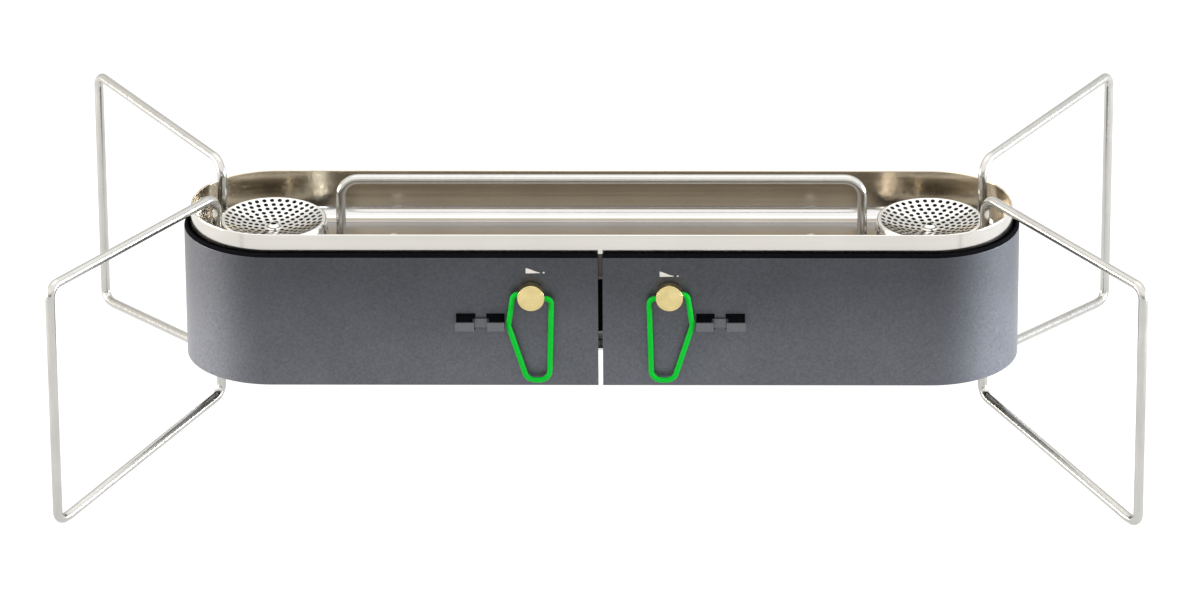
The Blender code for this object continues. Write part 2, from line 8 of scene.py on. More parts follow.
import bmesh
import bpy
from mathutils import Matrix, Vector
from mathutils.geometry import delaunay_2d_cdt


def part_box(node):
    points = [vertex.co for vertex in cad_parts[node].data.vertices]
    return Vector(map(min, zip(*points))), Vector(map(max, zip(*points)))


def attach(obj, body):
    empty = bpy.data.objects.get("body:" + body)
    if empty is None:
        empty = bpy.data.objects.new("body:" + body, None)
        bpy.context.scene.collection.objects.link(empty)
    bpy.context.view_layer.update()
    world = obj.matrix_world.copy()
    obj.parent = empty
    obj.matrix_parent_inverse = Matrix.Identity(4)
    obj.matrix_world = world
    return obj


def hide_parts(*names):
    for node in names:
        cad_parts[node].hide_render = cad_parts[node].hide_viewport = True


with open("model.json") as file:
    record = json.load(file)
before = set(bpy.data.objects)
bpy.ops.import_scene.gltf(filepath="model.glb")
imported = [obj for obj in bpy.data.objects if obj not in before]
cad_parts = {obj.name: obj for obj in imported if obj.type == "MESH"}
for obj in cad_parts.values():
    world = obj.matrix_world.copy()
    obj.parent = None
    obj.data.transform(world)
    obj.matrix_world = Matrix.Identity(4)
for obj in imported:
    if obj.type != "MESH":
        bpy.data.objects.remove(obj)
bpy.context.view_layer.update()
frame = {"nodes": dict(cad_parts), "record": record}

SIDES = {"left": -1, "right": 1}
FACES = {"front": -1, "back": 1}
CORNERS = {face + "_" + side: (SIDES[side], FACES[face]) for side in SIDES for face in FACES}
BODY_OF = {node: body for body, nodes in frame["record"]["behaviour"]["bodies"].items()
           for node in nodes}
JOINTS = {joint["name"]: joint for joint in frame["record"]["behaviour"]["joints"]}

# Sheet and wire
SHEET = 0.0012
EDGE = 0.0004
FINE_EDGE = 0.00022
GAP = 0.0003
WIRE_RADIUS = 0.0025
WIRE_SIDES = 14
WIRE_PLAY = 0.0008
TRAY_ARC, SHELL_ARC = 56, 64
CUT_PAST = 0.003

# Body, from the frame
TRAY_LOW, TRAY_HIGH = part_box("tray")
SHELL_LOW, SHELL_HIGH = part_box("shell_right")
TRAY_RADIUS = TRAY_HIGH.y
SHELL_RADIUS = SHELL_HIGH.y
END_X = SHELL_HIGH.x - SHELL_RADIUS
SEAM = SHELL_LOW.x
FLOOR_Z = TRAY_LOW.z + SHEET
TRAY_FILLET = 0.008
TRAY_FLAT = TRAY_RADIUS - TRAY_FILLET - 0.0015
MIXING_HOLE, RIVET_HOLE, KNOB_HOLE, INLET_HOLE = 0.0076, 0.0018, 0.0044, 0.0060
COAT_TOP = 0.1093
LINER_LOW = 0.1050
LINER_STEP = 0.0007

# Wires
LEG_TOP_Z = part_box("leg_front_left")[1].z - WIRE_RADIUS
LEG_HEEL_Z = 0.0216
LEG_FOOT_RUN = 0.0095
LEG_BENDS = (0.009, 0.0065, 0.0052, 0, 0.007)
HOOP_LOW, HOOP_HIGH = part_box("center_pan_support")
HOOP_BEND = 0.0096

# Burner head
HEAD_LOW, HEAD_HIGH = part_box("burner_head_right")
HEAD_SHEET = 0.0005
DISH_RADIUS = 0.0262
DISH_DEPTH = 0.0054
DISH_RIM_Z = HEAD_HIGH.z - 0.0002
SKIRT_RADIUS = HEAD_HIGH.y
SKIRT_LOW = HEAD_LOW.z
RING_FIRST, RING_PITCH, RING_COUNT = 0.0061, 0.00308, 7
FLAME_HOLE = 0.00120
SKIRT_HOLE = 0.00108
FLAME_HOLE_PITCH = 0.00408
CENTRE_HOLE = 0.0019
SKIRT_TOP_OUT, SKIRT_TOP_DROP = 0.0016, 0.0007
SKIRT_BANDS = ((0.0, 0.12), (0.12, 0.49), (0.49, 0.86), (0.86, 1.0))
HEAD_SIDES, SKIRT_CELLS, HOLE_SIDES = 144, 36, 14

# Controls
KNOB_LOW, KNOB_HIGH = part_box("knob_right")
KNOB_RADIUS = (KNOB_HIGH.x - KNOB_LOW.x) / 2
BAIL_RADIUS = 0.0014
BAIL_TILT = math.radians(9.3)
BAIL_CORNERS = ((0.0047, None), (0.0092, None), (0.0119, -0.0165), (0.0022, -0.0476),
                (-0.0094, -0.0476), (-0.0106, None), (-0.0047, None))
BAIL_BENDS = (0, 0.0028, 0.0035, 0.0055, 0.0055, 0.0028, 0)

# Clips, windows and small parts
CLIP_X = 0.063
CLIP_LOW, CLIP_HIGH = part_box("leg_clip_front_right")
CLIP_SHEET = 0.0010
CLIP_SADDLE, CLIP_STANDOFF = 0.0014, 0.0067
CLIP_NOTCH_IN, CLIP_NOTCH_OUT = 0.0040, 0.0026
CLIP_END_IN, CLIP_END_OUT = 0.0131, 0.0126
MARK_DEPTHS = (-0.00006, 0.00005)
BRACKET_UNSHADED, BRACKET_LIP = 0.0045, 0.0120
WINDOW_LOW, WINDOW_HIGH = 0.0690, 0.0778
WINDOW_SPANS = ((-0.0131, -0.0036), (0.0022, 0.0122))


# Materials

NOISE_LOW, NOISE_HIGH = 0.3, 0.7
WORN_LOW, WORN_HIGH = 0.51, 0.58


def set_inputs(tree, node, inputs):
    """Sets each input to a value, or links it to the output of another node."""
    for name, value in inputs.items():
        if isinstance(value, bpy.types.NodeSocket):
            tree.links.new(value, node.inputs[name])
        else:
            node.inputs[name].default_value = value


def add_node(tree, kind, inputs, **settings):
    made = tree.nodes.new("ShaderNode" + kind)
    for name, value in settings.items():
        setattr(made, name, value)
    set_inputs(tree, made, inputs)
    return made


def new_material(name):
    """A material with its node tree, its shader and its object coordinates."""
    made = bpy.data.materials.new(name)
    made.use_nodes = True
    tree = made.node_tree
    place = add_node(tree, "TexCoord", {}).outputs["Object"]
    return made, tree, tree.nodes["Principled BSDF"], place


def noise(tree, vector, scale, stretch=(1, 1, 1), detail=4.0):
    """Noise over object space, stretched along an axis to make brushing."""
    mapping = add_node(tree, "Mapping", {"Scale": stretch, "Vector": vector})
    return add_node(tree, "TexNoise", {"Scale": scale, "Detail": detail,
                                       "Vector": mapping.outputs["Vector"]}).outputs["Fac"]


def map_range(tree, value, start, end, low, high, shape="LINEAR"):
    """Maps start to end onto low to high."""
    return add_node(tree, "MapRange",
                    {"Value": value, "From Min": start, "From Max": end, "To Min": low,
                     "To Max": high}, interpolation_type=shape).outputs["Result"]


def spread(tree, value, low, high):
    """Maps noise's usual range onto low to high."""
    return map_range(tree, value, NOISE_LOW, NOISE_HIGH, low, high)


def mixed(tree, share, first, second):
    return add_node(tree, "Mix", {"Factor": share, "A": first, "B": second}).outputs["Result"]


def blend(tree, factor, first, second):
    """Mix of two colours, each a colour or the output of a node."""
    first, second = ((*end, 1) if isinstance(end, tuple) else end for end in (first, second))
    return add_node(tree, "Mix", {"Factor": factor, "A": first, "B": second},
                    data_type="RGBA").outputs["Result"]


def bump(tree, height, strength, distance, under=None):
    inputs = {"Height": height, "Strength": strength, "Distance": distance}
    if under:
        inputs["Normal"] = under
    return add_node(tree, "Bump", inputs).outputs["Normal"]


def with_painted_light(tree, place, tone, ramps):
    """Painted light and shade: the tone with two ramps, over height and over the distance from the
    middle.

    Each is (low, high, share): the tone goes to that share of itself from low to high.
    """
    where = add_node(tree, "SeparateXYZ", {"Vector": place}).outputs
    outward = add_node(tree, "Math", {0: where["X"]}, operation="ABSOLUTE").outputs["Value"]
    for value, (low, high, share) in zip((where["Z"], outward), ramps):
        fall = map_range(tree, value, low, high, 1.0, share, "SMOOTHSTEP")
        tone = add_node(tree, "VectorMath", {0: tone, "Scale": fall},
                        operation="SCALE").outputs["Vector"]
    return tone


def metal(name, dark, light, roughness, brush=(1, 1, 1), brush_scale=60, grain=0.06,
          blotch_scale=28, edge=0.0, metallic=1.0, specular=0.5, painted_light=None):
    """Metal or coated metal: blotches of tone, a directional grain and lighter, worn edges, with
    any ramps of painted light and shade.
    """
    made, tree, shader, place = new_material(name)
    blotch = noise(tree, place, blotch_scale, detail=3.0)
    lines = noise(tree, place, brush_scale, brush, detail=6.0)
    colour = blend(tree, spread(tree, mixed(tree, 0.45, blotch, lines), 0, 1), dark, light)
    if edge:
        point = add_node(tree, "NewGeometry", {}).outputs["Pointiness"]
        worn = map_range(tree, point, WORN_LOW, WORN_HIGH, 0, edge)
        colour = blend(tree, worn, colour, tuple(min(1, part * 1.8 + 0.05) for part in light))
    if painted_light:
        colour = with_painted_light(tree, place, colour, painted_light)
    set_inputs(tree, shader, {
        "Base Color": colour, "Metallic": metallic, "Specular IOR Level": specular,
        "Roughness": spread(tree, lines, roughness * 0.85, roughness * 1.15),
        "Normal": bump(tree, lines, grain, 0.0003)})
    return made


def tray_metal(name, dark, light, roughness=0.18, painted_light=None):
    """Steel brushed along the tray."""
    return metal(name, dark, light, roughness, (0.05, 1, 6), 90, 0.05, painted_light=painted_light)


def turned_metal(name, dark, light, roughness, centre, axis):
    """Metal with the fine rings of a lathe about a centre; axis is the one it turned on."""
    made, tree, shader, place = new_material(name)
    shift = add_node(tree, "Mapping", {"Location": -Vector(centre), "Vector": place})
    across = [0.0 if index == axis else 1.0 for index in range(3)]
    flat = add_node(tree, "VectorMath", {0: shift.outputs["Vector"], 1: across},
                    operation="MULTIPLY")
    radius = add_node(tree, "VectorMath", {0: flat.outputs["Vector"]}, operation="LENGTH")
    rings = add_node(tree, "TexNoise", {}, noise_dimensions="1D")
    set_inputs(tree, rings, {"Scale": 2600, "Detail": 2.0, "W": radius.outputs["Value"]})
    rings = rings.outputs["Fac"]
    blotch = noise(tree, place, 180, detail=3.0)
    set_inputs(tree, shader, {
        "Base Color": blend(tree, spread(tree, blotch, 0, 1), dark, light), "Metallic": 1.0,
        "Roughness": spread(tree, rings, roughness * 0.8, roughness * 1.2),
        "Normal": bump(tree, rings, 0.18, 0.0002)})
    return made


def powder_coat(name, dark, light, roughness, metallic, painted_light=None, specular=0.5):
    """Dark satin coating with a fine pebbled grain and faint cloudiness, with any ramps of painted
    light and shade.
    """
    made, tree, shader, place = new_material(name)
    fine = noise(tree, place, 800, detail=3.0)
    specks = noise(tree, place, 620, detail=2.0)
    cloud = noise(tree, place, 26)
    tone = blend(tree, spread(tree, mixed(tree, 0.65, cloud, fine), 0, 1), dark, light)
    if painted_light:
        tone = with_painted_light(tree, place, tone, painted_light)
    grain = bump(tree, fine, 0.22, 0.0001)
    set_inputs(tree, shader, {
        "Base Color": tone, "Metallic": metallic, "Specular IOR Level": specular,
        "Roughness": spread(tree, specks, roughness * 0.9, roughness * 1.12),
        "Normal": bump(tree, specks, 0.12, 0.0002, grain)})
    return made


TRAY_STEEL = tray_metal("tray_steel", (0.56, 0.54, 0.50), (0.62, 0.60, 0.56))
# Inner walls of the tray: a darker, browner copy of the tray steel, painted shade, darker still
# toward the rim and lighter toward the ends, a painted sheen.
TRAY_INSIDE_SHADE_AND_SHEEN = tray_metal("tray_inside_shade_and_sheen", (0.50, 0.44, 0.34), (0.60, 0.53, 0.415), 0.20,
                         painted_light=((TRAY_HIGH.z - 0.010, TRAY_HIGH.z, 0.85),
                               (END_X + 0.002, END_X + 0.016, 1.25)))
# Inner fillet of the tray: a lighter copy of the tray steel, a painted highlight.
TRAY_BEND_HIGHLIGHT = tray_metal("tray_bend_painted_highlight", (0.53, 0.52, 0.51), (0.59, 0.58, 0.57))
# Inner floor of the tray: a darker copy of the tray steel, painted shade.
TRAY_FLOOR_SHADE = tray_metal("tray_floor_painted_shade", (0.295, 0.275, 0.26), (0.36, 0.34, 0.32))
# Underside of the tray and its outside below the shell's top: a near-black copy of the tray steel,
# painted shade.
TRAY_UNDER_SHADE = tray_metal("tray_underside_painted_shade", (0.05, 0.045, 0.04), (0.09, 0.08, 0.07), 0.38)
BURNER_STEEL = metal("burner_steel", (0.66, 0.65, 0.62), (0.77, 0.76, 0.73), 0.17,
                     (1, 1, 1), 700, 0.05, 60)
WIRE_STEEL = metal("wire_steel", (0.44, 0.43, 0.405), (0.53, 0.52, 0.49), 0.22,
                   (1, 1, 0.15), 500, 0.03, 40)
ZINC = metal("zinc_plate", (0.48, 0.49, 0.51), (0.62, 0.63, 0.65), 0.34, (1, 1, 1), 260, 0.08,
             70, edge=0.4)
BRASS = metal("brass", (0.58, 0.44, 0.18), (0.68, 0.54, 0.25), 0.28, (1, 1, 1), 420, 0.06, 90,
              edge=0.3)
COPPER = metal("copper", (0.66, 0.36, 0.23), (0.78, 0.47, 0.32), 0.3, (1, 1, 1), 300, 0.05, 90)
# Flat black without shine: the shell's black liner, and painted shade on the shell's inside, the
# cut faces of its windows, holes and seam, the clip plates and the web under the tray.
LINER_BLACK_AND_SHADE = powder_coat("dark_steel", (0.003, 0.003, 0.004), (0.007, 0.007, 0.008), 0.6, 0.0,
                         specular=0.0)
# Near-black steel for the burner's cup and bridge, and painted shade in the burner's holes, under
# its dish and in the screw's socket.
BURNER_DARK_AND_SHADE = powder_coat("burner_dark_and_painted_shade", (0.016, 0.015, 0.014), (0.045, 0.041, 0.037), 0.55, 0.6)
# Shell coat: the tone darkens toward the top, painted shade, and lightens round the ends, painted
# light.
SHELL_COAT = powder_coat("shell_coat", (0.082, 0.086, 0.097), (0.126, 0.131, 0.147), 0.43, 0.8,
                         painted_light=((SHELL_LOW.z, SHELL_HIGH.z, 0.54),
                               (END_X + 0.004, END_X + 0.028, 1.5)))
CLIP_COAT = powder_coat("clip_coat", (0.105, 0.107, 0.116), (0.135, 0.138, 0.148), 0.38, 0.75)
GREEN_COAT = metal("green_coating", (0.0, 0.34, 0.018), (0.0, 0.40, 0.024), 0.35, (1, 1, 1),
                   240, 0.04, 50, metallic=0.0, specular=0.08)
WHITE_MARK = metal("white_mark", (0.50, 0.48, 0.44), (0.62, 0.60, 0.56), 0.5, (1, 1, 1), 300,
                   0.03, 90, metallic=0.0)


# Building blocks

def add_piece(name, mesh, material, nodes, degrees=32, weighted=True):
    """Shows a mesh as a piece in place of its CAD nodes, on the body of the first of them."""
    if not mesh.materials:
        mesh.materials.append(material)
    mesh.shade_smooth()
    mesh.set_sharp_from_angle(angle=math.radians(degrees))
    made = bpy.data.objects.new(name, mesh)
    bpy.context.scene.collection.objects.link(made)
    if weighted:
        level = made.modifiers.new("even_shading", "WEIGHTED_NORMAL")
        level.keep_sharp = True
    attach(made, BODY_OF[nodes[0]])
    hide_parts(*nodes)
    return made


def keep_node(name, material, bevel=0.0):
    """Leaves a CAD node as it is, with a finished material and softened edges."""
    node = frame["nodes"][name]
    node.data.materials.clear()
    node.data.materials.append(material)
    if bevel:
        edges = node.modifiers.new("edges", "BEVEL")
        edges.width = bevel
        edges.segments = 2
        edges.limit_method = "ANGLE"
        edges.angle_limit = math.radians(40)
        edges.harden_normals = True


def to_mesh(name, bm):
    bmesh.ops.recalc_face_normals(bm, faces=bm.faces)
    mesh = bpy.data.meshes.new(name)
    bm.to_mesh(mesh)
    bm.free()
    return mesh


def scratch(mesh):
    made = bpy.data.objects.new(mesh.name + "_scratch", mesh)
    bpy.context.scene.collection.objects.link(made)
    return made


def paint(mesh, base, *parts):
    """Gives the mesh its base material, then each part's material where the part's test holds."""
    mesh.materials.clear()
    mesh.materials.append(base)
    for index, (material, test) in enumerate(parts, 1):
        mesh.materials.append(material)
        for face in mesh.polygons:
            if test(face):
                face.material_index = index


def body_radius(point):
    """Distance from the line that joins the centres of the body's round ends."""
    return math.hypot(max(0, abs(point.x) - END_X), point.y)


def baked(made):
    """The object's mesh with its modifiers applied; the object itself is removed."""
    evaluated = made.evaluated_get(bpy.context.evaluated_depsgraph_get())
    mesh = bpy.data.meshes.new_from_object(evaluated)
    bpy.data.objects.remove(made, do_unlink=True)
    return mesh


def cut(mesh, tool):
    """The mesh less the solids in the bmesh tool."""
    made, cutter = scratch(mesh), scratch(to_mesh("cutter", tool))
    step = made.modifiers.new("cut", "BOOLEAN")
    step.operation = "DIFFERENCE"
    step.solver = "EXACT"
    step.object = cutter
    result = baked(made)
    bpy.data.objects.remove(cutter, do_unlink=True)
    return result


def soften(mesh, width, segments=2, degrees=40):
    """The mesh with its sharp edges rounded."""
    made = scratch(mesh)
    step = made.modifiers.new("edges", "BEVEL")
    step.width = width
    step.segments = segments
    step.limit_method = "ANGLE"
    step.angle_limit = math.radians(degrees)
    return baked(made)


def add_rod(bm, start, end, radius, segments=40):
    start, end = Vector(start), Vector(end)
    along = end - start
    rod = bmesh.ops.create_cone(bm, cap_ends=True, segments=segments, radius1=radius,
                                radius2=radius, depth=along.length)["verts"]
    turn = Vector((0, 0, 1)).rotation_difference(along).to_matrix()
    bmesh.ops.rotate(bm, cent=(0, 0, 0), matrix=turn, verts=rod)
    bmesh.ops.translate(bm, vec=(start + end) / 2, verts=rod)


def loft(bm, loops):
    """Adds a closed solid through a row of loops of points."""
    rings = [[bm.verts.new(point) for point in loop] for loop in loops]
    for first, second in zip(rings, rings[1:]):
        for index in range(len(first)):
            after = (index + 1) % len(first)
            bm.faces.new((first[index], first[after], second[after], second[index]))
    bm.faces.new(rings[0])
    bm.faces.new(rings[-1])


def add_box(bm, low, high):
    cube = bmesh.ops.create_cube(bm, size=1.0)["verts"]
    low, high = Vector(low), Vector(high)
    bmesh.ops.scale(bm, vec=high - low, verts=cube)
    bmesh.ops.translate(bm, vec=(low + high) / 2, verts=cube)


def rounded(corners, radii, closed=False, arc_steps=10):
    """Points along a path whose corners are rounded; a radius of 0 keeps the corner."""
    points = []
    count = len(corners)
    for index, (corner, radius) in enumerate(zip(corners, radii)):
        corner = Vector(corner)
        if radius == 0 or (not closed and index in (0, count - 1)):
            points.append(corner)
            continue
        towards_last = (Vector(corners[index - 1]) - corner).normalized()
        towards_next = (Vector(corners[(index + 1) % count]) - corner).normalized()
        half = towards_last.angle(towards_next) / 2
        middle = corner + (towards_last + towards_next).normalized() * radius / math.sin(half)
        reach = radius / math.tan(half)
        start = corner + towards_last * reach - middle
        end = corner + towards_next * reach - middle
        sweep = math.pi - 2 * half
        for step in range(arc_steps + 1):
            part = sweep * step / arc_steps
            points.append(middle + (start * math.sin(sweep - part)
                                    + end * math.sin(part)) / math.sin(sweep))
    return points


def tube_mesh(name, points, radius, closed=False, sides=WIRE_SIDES, capped=True):
    """Round rod swept along points, as a mesh."""
    curve = bpy.data.curves.new(name, "CURVE")
    curve.dimensions = "3D"
    curve.bevel_depth = radius
    curve.bevel_resolution = sides
    curve.use_fill_caps = capped and not closed
    spline = curve.splines.new("POLY")
    spline.points.add(len(points) - 1)
    spline.use_cyclic_u = closed
    for knot, point in zip(spline.points, points):
        knot.co = (*point, 1.0)
    mesh = baked(scratch(curve))
    mesh.name = name
    bm = bmesh.new()
    bm.from_mesh(mesh)
    bmesh.ops.remove_doubles(bm, verts=bm.verts, dist=0.000001)
    bmesh.ops.recalc_face_normals(bm, faces=bm.faces)
    bm.to_mesh(mesh)
    bm.free()
    return mesh


def lathe_mesh(name, profile, centre, axis, segments=64):
    """Solid of revolution. profile is (radius, height), from the axis round to the axis, or closed
    where it starts off the axis; axis is the way that height grows.
    """
    bm = bmesh.new()
    rings = []
    for radius, height in profile:
        if radius == 0:
            rings.append([bm.verts.new((0, 0, height))])
            continue
        turns = [2 * math.pi * step / segments for step in range(segments)]
        rings.append([bm.verts.new((radius * math.cos(turn), radius * math.sin(turn), height))
                      for turn in turns])
    pairs = list(zip(rings, rings[1:]))
    if profile[0][0] > 0:
        pairs.append((rings[-1], rings[0]))
    for first, second in pairs:
        if len(first) == 1 and len(second) == 1:
            continue
        for step in range(segments):
            after = (step + 1) % segments
            corners = [first[step % len(first)], first[after % len(first)],
                       second[after % len(second)], second[step % len(second)]]
            bm.faces.new(dict.fromkeys(corners))
    turn = Vector((0, 0, 1)).rotation_difference(Vector(axis)).to_matrix().to_4x4()
    bmesh.ops.transform(bm, matrix=Matrix.Translation(centre) @ turn, verts=bm.verts)
    return to_mesh(name, bm)


def eased(profile, radius, steps=3):
    """A lathe profile with every inner corner rounded by up to radius."""
    corners = [Vector((along, height, 0)) for along, height in profile]
    radii = []
    for index, corner in enumerate(corners):
        if index in (0, len(corners) - 1):
            radii.append(0)
            continue
        before, after = corner - corners[index - 1], corners[index + 1] - corner
        if before.angle(after) < math.radians(8):
            radii.append(0)
            continue
        room = min(before.length, after.length) * 0.45
        radii.append(min(radius, room / max(math.tan(before.angle(after) / 2), 0.01)))
    return [(point.x, point.y) for point in rounded(corners, radii, arc_steps=steps)]


def strip_mesh(name, path, across, thickness, inside, bend=0.0009, edge=0.00018):
    """Folded sheet: a path swept along across, thickened towards the point called inside."""
    path = [Vector(point) for point in path]
    across = Vector(across)
    points = rounded(path, [bend] * len(path), arc_steps=6)
    bm = bmesh.new()
    near = [bm.verts.new(point) for point in points]
    far = [bm.verts.new(point + across) for point in points]
    for index in range(len(points) - 1):
        bm.faces.new((near[index], near[index + 1], far[index + 1], far[index]))
    normal = (points[1] - points[0]).cross(across)
    mesh = bpy.data.meshes.new(name)
    bm.to_mesh(mesh)
    bm.free()
    made = scratch(mesh)
    step = made.modifiers.new("sheet", "SOLIDIFY")
    step.thickness = thickness
    step.offset = 1 if normal.dot(Vector(inside) - path[0]) > 0 else -1
    step.use_even_offset = True
    return soften(baked(made), edge)


def end_turns(side, arc):
    """Centre and outward direction of each point round one end of the body, front to back."""
    turns = [-math.pi / 2 + math.pi * step / arc for step in range(arc + 1)]
    return [(side * END_X, side * math.cos(turn), math.sin(turn)) for turn in turns]


# Tray and shell

def rivet_places():
    names = [node for node in frame["nodes"] if node.startswith("tray_rivet_")]
    return {name: sum(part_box(name), Vector()) / 2 for name in sorted(names)}


def make_tray():
    """Pressed pan with a rounded rim and a filleted foot."""
    outline = end_turns(1, TRAY_ARC) + list(reversed(end_turns(-1, TRAY_ARC)))
    foot = TRAY_LOW.z
    rim = SHEET / 2
    # Just under the shell's top: below this height the tray's outside is painted shade.
    shade_top = SHELL_HIGH.z - 0.0011
    section = [(TRAY_FLAT, foot)]
    steps = 10
    for step in range(steps + 1):
        turn = math.pi / 2 * step / steps
        section.append((TRAY_RADIUS - TRAY_FILLET + TRAY_FILLET * math.sin(turn),
                        foot + TRAY_FILLET - TRAY_FILLET * math.cos(turn)))
    section.append((TRAY_RADIUS, shade_top))
    for step in range(7):
        turn = math.pi * step / 6
        section.append((TRAY_RADIUS - rim + rim * math.cos(turn),
                        TRAY_HIGH.z - rim + rim * math.sin(turn)))
    inner = TRAY_FILLET - SHEET
    for step in range(steps + 1):
        turn = math.pi / 2 * (1 - step / steps)
        section.append((TRAY_RADIUS - TRAY_FILLET + inner * math.sin(turn),
                        FLOOR_Z + inner - inner * math.cos(turn)))
    section.append((TRAY_FLAT, FLOOR_Z))
    bm = bmesh.new()
    loft(bm, [[(centre + radius * out_x, radius * out_y, z) for centre, out_x, out_y in outline]
              for radius, z in section])
    holes = bmesh.new()
    low, high = foot - CUT_PAST, FLOOR_Z + CUT_PAST
    wire = WIRE_RADIUS + WIRE_PLAY
    for side in SIDES.values():
        add_rod(holes, (side * END_X, 0, low), (side * END_X, 0, high), MIXING_HOLE)
        hoop_x = side * (HOOP_HIGH.x - WIRE_RADIUS)
        add_rod(holes, (hoop_x, 0, low), (hoop_x, 0, high), wire)
    for name in CORNERS:
        x, y, _ = JOINTS["leg_swing_" + name]["pos_m"]
        add_rod(holes, (x, y, low), (x, y, high), wire)
    for place in rivet_places().values():
        add_rod(holes, (place.x, place.y, low), (place.x, place.y, high), RIVET_HOLE, 20)
    mesh = cut(to_mesh("tray", bm), holes)
    bend_start = TRAY_RADIUS - TRAY_FILLET
    # The outside keeps the plain tray steel down to the shell's top and is painted shade below it
    # and underneath; the inner walls take painted shade with a painted sheen at the ends, the
    # fillet a painted highlight and the floor painted shade.
    paint(mesh, TRAY_STEEL,
          (TRAY_UNDER_SHADE, lambda face: face.center.z < shade_top and (
              face.normal.z < -0.02 or body_radius(face.center) > TRAY_RADIUS - SHEET * 0.4)),
          (TRAY_INSIDE_SHADE_AND_SHEEN, lambda face: face.normal.z > -0.01
           and body_radius(face.center) < TRAY_RADIUS - SHEET * 0.7),
          (TRAY_BEND_HIGHLIGHT, lambda face: face.normal.z > 0.05
           and bend_start < body_radius(face.center) < TRAY_RADIUS - SHEET),
          (TRAY_FLOOR_SHADE, lambda face: face.normal.z > 0.5
           and body_radius(face.center) <= bend_start))
    add_piece("pressed_tray", mesh, TRAY_STEEL, ["tray"])


def make_shell_half(label, side):
    """One half of the outer band with its black liner, its windows and its knob hole, its inside
    painted black as shade.
    """
    halfway = side * (END_X + SEAM) / 2
    outline = [(side * SEAM, 0, -1), (halfway, 0, -1), *end_turns(side, SHELL_ARC),
               (halfway, 0, 1), (side * SEAM, 0, 1)]
    low, high, inner = SHELL_LOW.z, SHELL_HIGH.z, SHELL_RADIUS - SHEET
    liner = SHELL_RADIUS - LINER_STEP
    corners = [(SHELL_RADIUS, low, EDGE), (SHELL_RADIUS, COAT_TOP, EDGE * 0.6),
               (liner, COAT_TOP, 0), (liner, high, EDGE), (inner - LINER_STEP, high, EDGE),
               (inner - LINER_STEP, LINER_LOW, 0), (inner, LINER_LOW, 0), (inner, low, EDGE)]
    section = [(point.x, point.y) for point in rounded(
        [(radius, z, 0) for radius, z, _ in corners], [bend for _, _, bend in corners],
        closed=True, arc_steps=3)]
    bm = bmesh.new()
    loft(bm, [[(centre + radius * out_x, radius * out_y, z) for radius, z in section]
              for centre, out_x, out_y in outline])
    cuts = bmesh.new()
    knob_x, _, knob_z = JOINTS["knob_turn_" + label]["pos_m"]
    near, far = SHELL_RADIUS - CUT_PAST, SHELL_RADIUS + CUT_PAST
    add_rod(cuts, (knob_x, -near, knob_z), (knob_x, -far, knob_z), KNOB_HOLE, 48)
    for face in FACES.values():
        for start, end in WINDOW_SPANS:
            xs = sorted((side * (CLIP_X + start), side * (CLIP_X + end)))
            ys = sorted((face * near, face * far))
            add_box(cuts, (xs[0], ys[0], WINDOW_LOW), (xs[1], ys[1], WINDOW_HIGH))
    inlet_z = sum(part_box("gas_inlet_nut"), Vector()).z / 2
    add_rod(cuts, (0, near, inlet_z), (0, far, inlet_z), INLET_HOLE, 48)
    mesh = soften(cut(to_mesh("shell", bm), cuts), FINE_EDGE)
    # The liner and the top edge are black; the inside face and the cut faces of the windows, holes
    # and seam are painted black as well, painted shade.
    paint(mesh, SHELL_COAT,
          (LINER_BLACK_AND_SHADE, lambda face: body_radius(face.center) < SHELL_RADIUS - EDGE
           or face.center.z > COAT_TOP - 0.00001))
    add_piece("outer_shell_" + label, mesh, SHELL_COAT, ["shell_" + label])


# Wires

def gate_heading(name):
    """Direction from a leg's pivot to its outer upright, from the CAD node's own vertices."""
    pivot = Vector(JOINTS["leg_swing_" + name]["pos_m"]).xy
    points = [vert.co.xy - pivot for vert in frame["nodes"]["leg_" + name].data.vertices]
    furthest = max(point.length for point in points)
    outer = [point for point in points if point.length > furthest - 2 * WIRE_RADIUS]
    return sum(outer, Vector((0, 0))).normalized(), furthest - WIRE_RADIUS


def make_leg(name):
    heading, reach = gate_heading(name)
    pivot = Vector(JOINTS["leg_swing_" + name]["pos_m"])
    foot_z = WIRE_RADIUS
    corners = [(0, LEG_TOP_Z), (reach, LEG_TOP_Z), (reach, foot_z),
               (reach - LEG_FOOT_RUN, foot_z), (0, LEG_HEEL_Z)]
    corners = [(pivot.x + heading.x * out, pivot.y + heading.y * out, z) for out, z in corners]
    mesh = tube_mesh("leg", rounded(corners, LEG_BENDS, closed=True), WIRE_RADIUS, closed=True)
    add_piece("leg_gate_" + name, mesh, WIRE_STEEL, ["leg_" + name], 60, False)


def make_hoop():
    reach = HOOP_HIGH.x - WIRE_RADIUS
    corners = [(-reach, 0, HOOP_LOW.z), (-reach, 0, LEG_TOP_Z), (reach, 0, LEG_TOP_Z),
               (reach, 0, HOOP_LOW.z)]
    mesh = tube_mesh("hoop", rounded(corners, (0, HOOP_BEND, HOOP_BEND, 0), arc_steps=14),
                     WIRE_RADIUS)
    add_piece("pan_support_hoop", mesh, WIRE_STEEL, ["center_pan_support"], 60,
              False)


def make_bail(label, side):
    """Coated wire loop that hangs from the knob's two side holes."""
    knob = Vector(JOINTS["knob_turn_" + label]["pos_m"])
    rise = math.tan(BAIL_TILT)
    corners = [(knob.x + side * out, knob.y, knob.z + (out * rise if up is None else up))
               for out, up in BAIL_CORNERS]
    mesh = tube_mesh("bail", rounded(corners, BAIL_BENDS), BAIL_RADIUS)
    add_piece("green_bail_" + label, mesh, GREEN_COAT, ["knob_bail_" + label],
              60, False)


# Burners

def dish_height(radius):
    return DISH_RIM_Z - DISH_DEPTH * (1 - (radius / DISH_RADIUS) ** 2)


